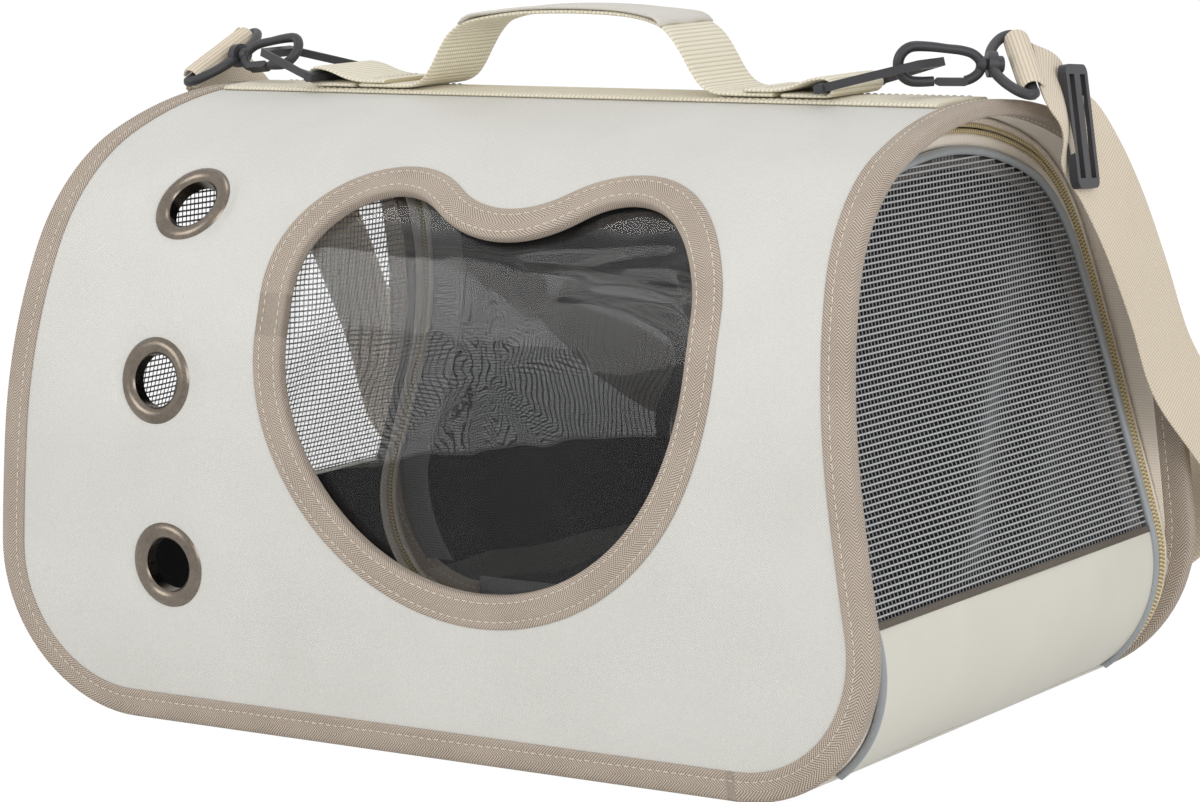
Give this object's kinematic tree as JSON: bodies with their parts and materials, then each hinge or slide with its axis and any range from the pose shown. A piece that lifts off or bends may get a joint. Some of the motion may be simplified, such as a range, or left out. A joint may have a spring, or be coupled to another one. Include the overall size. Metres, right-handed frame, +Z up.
{
  "type": "cat carrier bag",
  "caption": "Soft-sided pet carrier: an arched board tunnel with a cat-ear window, vent eyelets, fold-down mesh end doors, a carry handle and a clip-on shoulder strap.",
  "frame": {"origin": "middle of the base sheet's underside, on the table", "axes": "+X along the bag to the end with the tri-glide, -Y out of the front with the window, +Z up"},
  "size_m": [0.4202, 0.2817, 0.2778],
  "materials": {
    "panel_twill": "satin",
    "lining_dark": "matte",
    "binding_taupe": "matte",
    "film_clear": "glossy",
    "metal_dark": "polished",
    "mesh_grey": "matte",
    "strip_cream": "satin",
    "tape_cream": "matte",
    "coil_gold": "satin",
    "piping_grey": "matte",
    "webbing_ivory": "matte",
    "plastic_black": "satin",
    "mat_dark": "matte",
    "seam_grey": "matte"
  },
  "bodies": {
    "bag": {"main_panel": "panel_twill", "panel_lining": "lining_dark", "edge_binding": "binding_taupe", "window_film": "film_clear", "window_binding": "binding_taupe", "eyelet_top": "metal_dark", "eyelet_middle": "metal_dark", "eyelet_bottom": "metal_dark", "washer_top": "metal_dark", "washer_middle": "metal_dark", "washer_bottom": "metal_dark", "base_panel": "strip_cream", "floor_tape_front": "seam_grey", "floor_tape_back": "seam_grey", "ridge_webbing": "webbing_ivory", "handle_webbing": "webbing_ivory", "handle_grip": "webbing_ivory", "bag_tape_right": "tape_cream", "bag_tape_left": "tape_cream", "bag_coil_right": "coil_gold", "bag_coil_left": "coil_gold", "seam_tape_right": "seam_grey", "seam_tape_left": "seam_grey", "strap": "webbing_ivory"},
    "mat": {"floor_mat": "mat_dark"},
    "door_right": {"door_mesh_right": "mesh_grey", "door_strip_right": "strip_cream", "door_piping_right": "piping_grey", "door_tape_right": "tape_cream", "door_coil_right": "coil_gold"},
    "ring_right": {"ring_right": "plastic_black", "bow_right": "plastic_black", "strap_eye_right": "webbing_ivory", "tri_glide": "plastic_black"},
    "hook_right": {"hook_right": "plastic_black"},
    "gate_right": {"gate_right": "plastic_black"},
    "slider_right": {"zip_slider_right": "metal_dark"},
    "pull_right": {"zip_pull_right": "metal_dark"},
    "door_left": {"door_mesh_left": "mesh_grey", "door_strip_left": "strip_cream", "door_piping_left": "piping_grey", "door_tape_left": "tape_cream", "door_coil_left": "coil_gold"},
    "ring_left": {"ring_left": "plastic_black", "bow_left": "plastic_black", "strap_eye_left": "webbing_ivory"},
    "hook_left": {"hook_left": "plastic_black"},
    "gate_left": {"gate_left": "plastic_black"},
    "slider_left": {"zip_slider_left": "metal_dark"},
    "pull_left": {"zip_pull_left": "metal_dark"}
  },
  "joints": [
    {"name": "door_right_fold", "type": "hinge", "parent": "bag", "child": "door_right", "pos_m": [0.17139, 0, 0.00955], "axis": [0, 1, 0], "range_deg": [0, 68]},
    {"name": "ring_right_lift", "type": "hinge", "parent": "bag", "child": "ring_right", "pos_m": [0.1195, 0, 0.2456], "axis": [0, -1, 0], "range_deg": [0, 60], "deforming": ["strap"]},
    {"name": "door_left_fold", "type": "hinge", "parent": "bag", "child": "door_left", "pos_m": [-0.17139, 0, 0.00955], "axis": [0, -1, 0], "range_deg": [0, 68]},
    {"name": "ring_left_lift", "type": "hinge", "parent": "bag", "child": "ring_left", "pos_m": [-0.1195, 0, 0.2456], "axis": [0, 1, 0], "range_deg": [0, 60]},
    {"name": "hook_right_swivel", "type": "hinge", "parent": "ring_right", "child": "hook_right", "pos_m": [0.14254, -0.00835, 0.25428], "axis": [0.7656, 0.6424, -0.0349], "range_deg": [-6, 6]},
    {"name": "gate_right_open", "type": "hinge", "parent": "hook_right", "child": "gate_right", "pos_m": [0.16265, 0.00853, 0.24686], "axis": [-0.6428, 0.766, 0], "range_deg": [0, 30], "stiffness_Nm_per_rad": 0.02, "springref_deg": -5.73},
    {"name": "hook_left_swivel", "type": "hinge", "parent": "ring_left", "child": "hook_left", "pos_m": [-0.13967, -0.0018, 0.25496], "axis": [-0.9865, 0.1386, -0.0872], "range_deg": [-6, 6]},
    {"name": "gate_left_open", "type": "hinge", "parent": "hook_left", "child": "gate_left", "pos_m": [-0.16587, -0.00188, 0.24735], "axis": [-0.1635, -0.8042, 0.5714], "range_deg": [0, 30], "stiffness_Nm_per_rad": 0.02, "springref_deg": -5.73},
    {"name": "zip_right_slide", "type": "slide", "parent": "bag", "child": "slider_right", "axis": [-0.2924, 0, 0.9563], "range_m": [-0.01, 0.0025]},
    {"name": "pull_right_lift", "type": "hinge", "parent": "slider_right", "child": "pull_right", "pos_m": [0.18484, -0.11895, 0.09294], "axis": [0, -1, 0], "range_deg": [0, 90]},
    {"name": "zip_left_slide", "type": "slide", "parent": "bag", "child": "slider_left", "axis": [0.2924, 0, 0.9563], "range_m": [-0.01, 0.0025]},
    {"name": "pull_left_lift", "type": "hinge", "parent": "slider_left", "child": "pull_left", "pos_m": [-0.18484, -0.11895, 0.09294], "axis": [0, 1, 0], "range_deg": [0, 90]},
    {"name": "mat_lift", "type": "slide", "parent": "bag", "child": "mat", "axis": [0, 0, 1], "range_m": [0, 0.04]}
  ]
}
